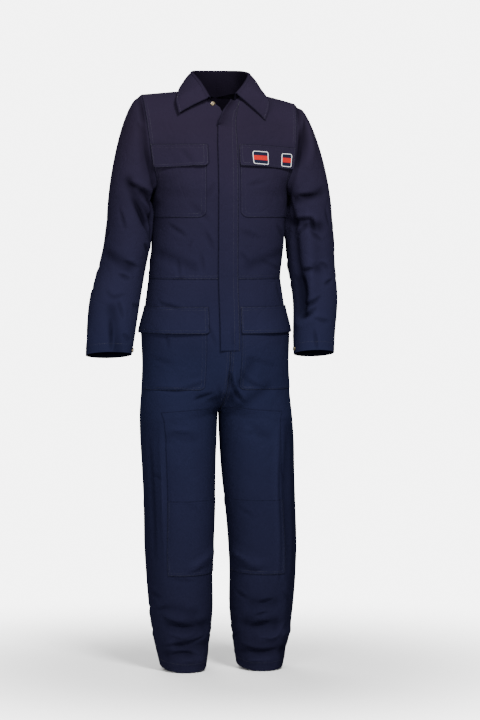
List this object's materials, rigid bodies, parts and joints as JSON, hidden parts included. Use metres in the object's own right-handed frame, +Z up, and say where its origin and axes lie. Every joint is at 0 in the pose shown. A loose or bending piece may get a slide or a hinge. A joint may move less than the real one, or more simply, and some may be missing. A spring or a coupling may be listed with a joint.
{
  "type": "boiler suit",
  "caption": "Worn hollow boiler suit with shirt collar, covered stud front, flapped chest and hip pockets and knee patches.",
  "frame": {"origin": "base of the neck, level with the neck ends of the shoulder seams, where the wearer holds the suit up", "axes": "+Z up, the front faces -Y, the wearer's left is +X"},
  "size_m": [0.6639, 0.2627, 1.5525],
  "materials": {
    "navy_cotton": "matt navy cotton twill",
    "stud_brass": "dulled brass press stud caps",
    "badge_weave": "woven patch, red and white"
  },
  "bodies": {
    "root": {"front_right": "navy_cotton", "front_left": "navy_cotton", "back": "navy_cotton", "sleeve_right": "navy_cotton", "sleeve_left": "navy_cotton", "collar": "navy_cotton", "placket": "navy_cotton", "leg_front_right": "navy_cotton", "leg_front_left": "navy_cotton", "leg_back_right": "navy_cotton", "leg_back_left": "navy_cotton", "chest_pocket_right": "navy_cotton", "chest_pocket_left": "navy_cotton", "chest_flap_right": "navy_cotton", "chest_flap_left": "navy_cotton", "hip_pocket_right": "navy_cotton", "hip_pocket_left": "navy_cotton", "hip_flap_right": "navy_cotton", "hip_flap_left": "navy_cotton", "knee_patch_right": "navy_cotton", "knee_patch_left": "navy_cotton", "stud_neck": "stud_brass", "stud_cuff_right": "stud_brass", "stud_cuff_left": "stud_brass", "badge_inner": "badge_weave", "badge_outer": "badge_weave"}
  },
  "joints": []
}
